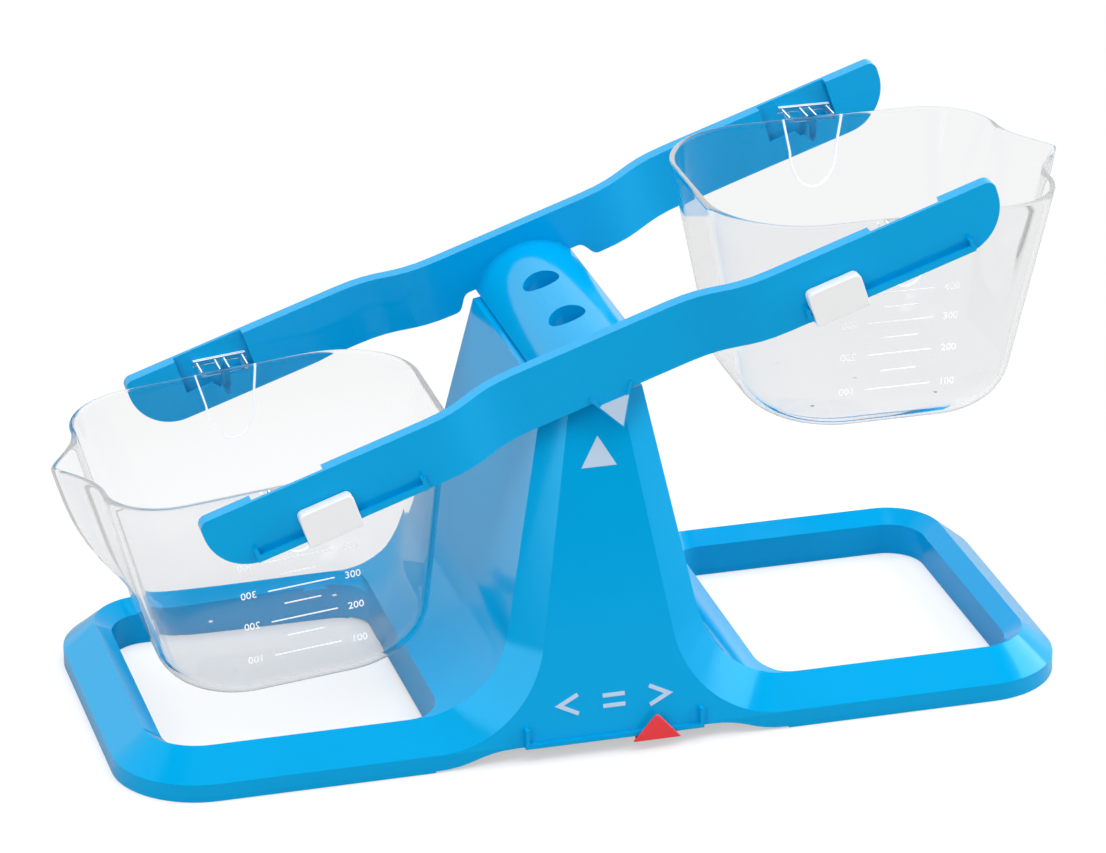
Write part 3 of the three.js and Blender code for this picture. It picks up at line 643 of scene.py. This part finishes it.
# Volume marks on the front wall: a line every 50 mL, with numbers at each 100 on both sides, in white with a
# painted glow
marks = dict(
    volumes=np.arange(100, 401, 50), numbered=100, long=(-12.0, 10.6), short=(-7.0, 5.5),
    thick=0.4, proud=0.12, sunk=0.05, letter=3.7, letterSteps=3, leftAt=-18.6, rightAt=16.8, slices=400,
)


# Height up the bucket that holds each volume: the areas of its inner rows, summed from the floor
def markHeights():
    b = bucket
    bottom = b["rim"] - b["depth"]
    z = np.linspace(bottom + b["floor"], b["rim"], marks["slices"])
    edge = b["floorEdge"] - b["wall"]
    drop = np.clip(1 - (z - z[0]) / edge, 0, 1)
    inset = b["wall"] + edge * (1 - np.sqrt(1 - drop**2))
    rows = bucketRows(z, inset)
    x, y = rows[..., 0], rows[..., 1]
    area = np.abs(np.sum(x * np.roll(y, -1, axis=1) - y * np.roll(x, -1, axis=1), axis=1)) / 2
    slices = (area[1:] + area[:-1]) / 2 * np.diff(z)
    millilitres = np.concatenate([[0], np.cumsum(slices)]) / 1000  # from cubic millimetres
    return np.interp(marks["volumes"], millilitres, z - bottom)


# Text as points and faces of a thin solid, flat in x and y, centred on its origin
def textMesh(words, size, thickness):
    curve = bpy.data.curves.new("words", "FONT")
    curve.body = words
    curve.size = size
    curve.extrude = thickness / 2
    curve.align_x = "CENTER"
    curve.align_y = "CENTER"
    curve.resolution_u = marks["letterSteps"]
    holder = bpy.data.objects.new("words", curve)
    bpy.context.scene.collection.objects.link(holder)
    bpy.context.view_layer.update()
    made = holder.evaluated_get(bpy.context.evaluated_depsgraph_get())
    mesh = bpy.data.meshes.new_from_object(made)
    points = np.empty(3 * len(mesh.vertices))
    mesh.vertices.foreach_get("co", points)
    faces = [list(face.vertices) for face in mesh.polygons]
    bpy.data.objects.remove(holder)
    bpy.data.meshes.remove(mesh)
    return points.reshape(-1, 3), faces


# Lines, and numbers that read from outside on the right and from inside on the left
def bucketMarks(mirror):
    m = marks
    foot, up, out = wallFrame(-1)
    parts = []
    for volume, height in zip(m["volumes"], markHeights()):
        named = volume % m["numbered"] == 0
        start, end = m["long"] if named else m["short"]
        line = [[start, 0], [end, 0], [end, m["thick"]], [start, m["thick"]]]
        parts.append(prism(line, foot + height * up, [mirror, 0, 0], up, out, -m["sunk"], m["proud"]))
        if named:
            for at, way in ((m["leftAt"], -1), (m["rightAt"], 1)):
                spots, cells = textMesh(str(volume), m["letter"], m["proud"])
                place = foot + height * up + np.array([mirror * at, 0, 0])
                flat = place + spots[:, :1] * np.array([mirror * way, 0, 0]) + spots[:, 1:2] * up
                parts.append((flat + (spots[:, 2:] + m["proud"] / 2) * out, cells))
    return gathered(parts)


for side in sides:
    points, faces = bucketMarks(side["mirror"])
    placed = bucketPlace(points, side)
    # The marks are real; their glow is painted light that keeps them white in shade
    marking = surface(side["body"] + "_marks", placed, faces, clearInk)
    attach(marking, side["body"])
print("volume marks printed")

# Signs on the tower's front panel and the two triangles: white prints, coloured a darker blue-grey as painted
# shade
tower = dict(lean=0.203, band=6.3, proud=0.12, sunk=0.05)
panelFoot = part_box("base")[1][1] / mm  # of the back panel, which the front one mirrors


# Point and directions on the leaning front panel at a height
def panelFrame(height):
    t = tower
    slope = np.array([0, t["lean"], 1]) / np.hypot(1, t["lean"])
    out = np.array([0, -slope[2], slope[1]])
    place = np.array([0, -(panelFoot - t["lean"] * (height - t["band"])), height])
    return place, slope, out


# Ribbon along a path: both sides are offset by half the width, with mitred bends
def ribbon(path, width):
    path = np.asarray(path, float)
    step = np.diff(path, axis=0)
    step /= np.linalg.norm(step, axis=1, keepdims=True)
    normal = np.stack([-step[:, 1], step[:, 0]], axis=-1)
    before = np.concatenate([normal[:1], normal])
    after = np.concatenate([normal, normal[-1:]])
    mitre = before + after
    mitre /= np.sum(mitre * before, axis=1, keepdims=True)
    return np.concatenate([path + mitre * width / 2, (path - mitre * width / 2)[::-1]])


signs = dict(
    height=17.7, half=3.3, run=6.6, stroke=1.4, places=(-15.1, 0.6, 16.3), equalHalf=3.85, equalGap=3.6,
)


def panelSigns():
    g = signs
    place, slope, out = panelFrame(g["height"])
    left, middle, right = g["places"]
    run, half, gap = g["run"] / 2, g["half"], g["equalGap"] / 2
    start, end = middle - g["equalHalf"], middle + g["equalHalf"]
    paths = [
        [[left + run, half], [left - run, 0], [left + run, -half]],
        [[start, gap], [end, gap]],
        [[start, -gap], [end, -gap]],
        [[right - run, half], [right + run, 0], [right - run, -half]],
    ]
    return gathered([
        prism(ribbon(path, g["stroke"]), place, [1, 0, 0], slope, out, -tower["sunk"], tower["proud"])
        for path in paths
    ])


triangles = dict(
    towerBase=96.0, towerApex=106.3, towerHalf=6.1,
    pointerTop=-12.0, pointerTip=-21.9, pointerHalf=5.3, pointerFace=54.61, pointerRim=0.8,
    pivotAboveMiddle=1.9,
)


def towerTriangle():
    t = triangles
    place, slope, out = panelFrame(t["towerBase"])
    rise = (t["towerApex"] - t["towerBase"]) / slope[2]
    outline = [[-t["towerHalf"], 0], [t["towerHalf"], 0], [0, rise]]
    return prism(outline, place, [1, 0, 0], slope, out, -tower["sunk"], tower["proud"])


# White inlay that fills the beam's pointer and covers most of its raised rim, tip down; heights are from the
# beam's middle
def pointerTriangle():
    t = triangles
    middle = beamPivot / mm - t["pivotAboveMiddle"] * beamUp
    place = middle + np.array([0, -t["pointerFace"], 0])
    half, top = t["pointerHalf"], t["pointerTop"]
    outline = [[-half, top], [0, t["pointerTip"]], [half, top]]
    proud = t["pointerRim"] + tower["proud"]
    return prism(outline, place, beamAlong, beamUp, [0, -1, 0], -tower["sunk"], proud)


# The prints are white, drawn in the blue-grey of painted shade
for name, body, shape in (
    ("panel_signs", "base", panelSigns),
    ("tower_triangle", "base", towerTriangle),
    ("pointer_triangle", "beam", pointerTriangle),
):
    points, faces = shape()
    piece = surface(name, points * mm, faces, whitePrint)
    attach(piece, body)
print("panel prints made")


# Studio: floor, light and camera
studio = dict(
    floorHalf=1.1, floorDrop=0.0002, floorColor=0.5, floorGlow=0.5, throughGlow=0.8,
    fadeStart=0.19, fadeEnd=0.30, lampTarget=(0, 0, 0.08),
    worldSoft=0.27, roomDim=0.06, roomEdge=(0.45, 0.9), roomSide=(0.3, 2.0), roomLift=-0.5,
)


# Grey floor that lifts to white for the camera, a little less through clear walls, and that fades to plain
# white away from the object
def floorMaterial():
    material = bpy.data.materials.new("studioFloor")
    material.use_nodes = True
    tree = material.node_tree
    tree.nodes.remove(tree.nodes["Principled BSDF"])
    path = newNode(tree, "ShaderNodeLightPath")
    seen = maxOf(tree, path.outputs["Is Camera Ray"], path.outputs["Is Transmission Ray"])
    dull = newNode(tree, "ShaderNodeBsdfDiffuse")
    dull.inputs["Color"].default_value = (*[studio["floorColor"]] * 3, 1)
    through = newNode(tree, "ShaderNodeMath", operation="MULTIPLY")
    tree.links.new(path.outputs["Is Transmission Ray"], through.inputs[0])
    through.inputs[1].default_value = studio["throughGlow"]
    lift = newNode(tree, "ShaderNodeMath", operation="MULTIPLY")
    tree.links.new(maxOf(tree, path.outputs["Is Camera Ray"], through.outputs[0]), lift.inputs[0])
    lift.inputs[1].default_value = studio["floorGlow"]
    glow = newNode(tree, "ShaderNodeEmission")
    tree.links.new(lift.outputs[0], glow.inputs["Strength"])
    near = newNode(tree, "ShaderNodeAddShader")
    tree.links.new(dull.outputs["BSDF"], near.inputs[0])
    tree.links.new(glow.outputs["Emission"], near.inputs[1])
    place = newNode(tree, "ShaderNodeTexCoord")
    distance = newNode(tree, "ShaderNodeVectorMath", operation="LENGTH")
    tree.links.new(place.outputs["Object"], distance.inputs[0])
    fade = newNode(tree, "ShaderNodeMapRange", interpolation_type="SMOOTHSTEP")
    fade.inputs["From Min"].default_value = studio["fadeStart"]
    fade.inputs["From Max"].default_value = studio["fadeEnd"]
    tree.links.new(distance.outputs["Value"], fade.inputs["Value"])
    share = newNode(tree, "ShaderNodeMath", operation="MULTIPLY")
    tree.links.new(seen, share.inputs[0])
    tree.links.new(fade.outputs["Result"], share.inputs[1])
    far = newNode(tree, "ShaderNodeEmission")
    mix = newNode(tree, "ShaderNodeMixShader")
    tree.links.new(share.outputs[0], mix.inputs["Fac"])
    tree.links.new(near.outputs["Shader"], mix.inputs[1])
    tree.links.new(far.outputs["Emission"], mix.inputs[2])
    tree.links.new(mix.outputs["Shader"], tree.nodes["Material Output"].inputs["Surface"])
    return material


# White for the camera and through clear walls, soft light for the rest, and a backdrop for mirrored rays
def studioWorld():
    world = bpy.data.worlds.new("studioWorld")
    world.use_nodes = True
    tree = world.node_tree
    glow = tree.nodes["Background"]
    glow.inputs["Color"].default_value = (1, 1, 1, 1)
    path = newNode(tree, "ShaderNodeLightPath")
    way = newNode(tree, "ShaderNodeTexCoord")
    apart = newNode(tree, "ShaderNodeSeparateXYZ")
    tree.links.new(way.outputs["Generated"], apart.inputs["Vector"])
    lift = newNode(tree, "ShaderNodeMath", operation="MULTIPLY_ADD")  # the backdrop ends overhead
    tree.links.new(apart.outputs["Z"], lift.inputs[0])
    lift.inputs[1].default_value = studio["roomLift"]
    tree.links.new(apart.outputs["Y"], lift.inputs[2])
    across = newNode(tree, "ShaderNodeMath", operation="ABSOLUTE")
    tree.links.new(apart.outputs["X"], across.inputs[0])
    beside = newNode(tree, "ShaderNodeMath", operation="MAXIMUM")
    tree.links.new(across.outputs[0], beside.inputs[0])
    beside.inputs[1].default_value = studio["roomSide"][0]
    wings = newNode(tree, "ShaderNodeMath", operation="MULTIPLY_ADD")  # and comes forward at both sides
    tree.links.new(beside.outputs[0], wings.inputs[0])
    wings.inputs[1].default_value = studio["roomSide"][1]
    tree.links.new(lift.outputs[0], wings.inputs[2])
    sweep = newNode(tree, "ShaderNodeMapRange", interpolation_type="SMOOTHSTEP")
    sweep.inputs["From Min"].default_value, sweep.inputs["From Max"].default_value = studio["roomEdge"]
    sweep.inputs["To Min"].default_value = studio["roomDim"]
    tree.links.new(wings.outputs[0], sweep.inputs["Value"])
    seen = maxOf(tree, path.outputs["Is Camera Ray"], path.outputs["Is Transmission Ray"])
    mirrored = newNode(tree, "ShaderNodeMix", data_type="FLOAT")
    mirrored.inputs["A"].default_value = studio["worldSoft"]
    tree.links.new(path.outputs["Is Glossy Ray"], mirrored.inputs["Factor"])
    tree.links.new(sweep.outputs["Result"], mirrored.inputs["B"])
    strength = newNode(tree, "ShaderNodeMix", data_type="FLOAT")
    strength.inputs["B"].default_value = 1
    tree.links.new(seen, strength.inputs["Factor"])
    tree.links.new(mirrored.outputs["Result"], strength.inputs["A"])
    tree.links.new(strength.outputs["Result"], glow.inputs["Strength"])
    bpy.context.scene.world = world


# Area light that faces the part; mirrored says whether it shows in the plastic
def softbox(name, place, size, power, mirrored):
    lamp = bpy.data.lights.new(name, "AREA")
    lamp.shape = "RECTANGLE"
    lamp.size, lamp.size_y = size
    lamp.energy = power
    holder = bpy.data.objects.new(name, lamp)
    holder.location = place
    ahead = Vector(studio["lampTarget"]) - Vector(place)
    holder.rotation_euler = ahead.to_track_quat("-Z", "Y").to_euler()
    holder.visible_glossy = mirrored
    bpy.context.scene.collection.objects.link(holder)


half = studio["floorHalf"]
floorGrid = np.stack(np.meshgrid([-half, half], [-half, half], [-studio["floorDrop"]]), axis=-1)
floorMesh = bpy.data.meshes.new("floor")
floorMesh.from_pydata(floorGrid.reshape(-1, 3).tolist(), [], [[0, 2, 3, 1]])
floor = newObject("floor", floorMesh, floorMaterial())
studioWorld()
softboxes = [
    dict(name="topBox", place=(0.0, 0.45, 1.7), size=(1.6, 1.0), power=12, mirrored=False),
    dict(name="sideBox", place=(-1.6, 0.35, 0.8), size=(1.0, 0.9), power=6, mirrored=False),
    dict(name="foreBox", place=(0.1, -0.7, 1.6), size=(1.6, 0.8), power=12, mirrored=False),
    dict(name="leftBox", place=(-0.99, -1.18, 0.85), size=(0.5, 1.5), power=10, mirrored=True),
    dict(name="rightBox", place=(1.5, -0.1, 0.75), size=(1.4, 1.1), power=21, mirrored=True),
]
for box in softboxes:
    softbox(**box)

cameraSet = dict(
    place=(-0.4476, -1.6142, 0.8104), target=(0.0537, 0.1983, 0.0), roll=-0.227,
    lens=174.67, sensor=36.0, clip=(0.05, 50),
)


def studioCamera():
    data = bpy.data.cameras.new("camera")
    data.lens = cameraSet["lens"]
    data.sensor_width = cameraSet["sensor"]
    data.clip_start, data.clip_end = cameraSet["clip"]
    holder = bpy.data.objects.new("camera", data)
    place = Vector(cameraSet["place"])
    ahead = (Vector(cameraSet["target"]) - place).normalized()
    level = ahead.cross(Vector((0, 0, 1))).normalized()
    rise = level.cross(ahead)
    roll = radians(cameraSet["roll"])
    right = cos(roll) * level + sin(roll) * rise
    up = cos(roll) * rise - sin(roll) * level
    turn = Matrix((right, up, -ahead)).transposed()
    holder.matrix_world = Matrix.Translation(place) @ turn.to_4x4()
    bpy.context.scene.collection.objects.link(holder)
    bpy.context.scene.camera = holder


studioCamera()
bpy.context.scene.view_settings.view_transform = "Standard"
print("studio set")
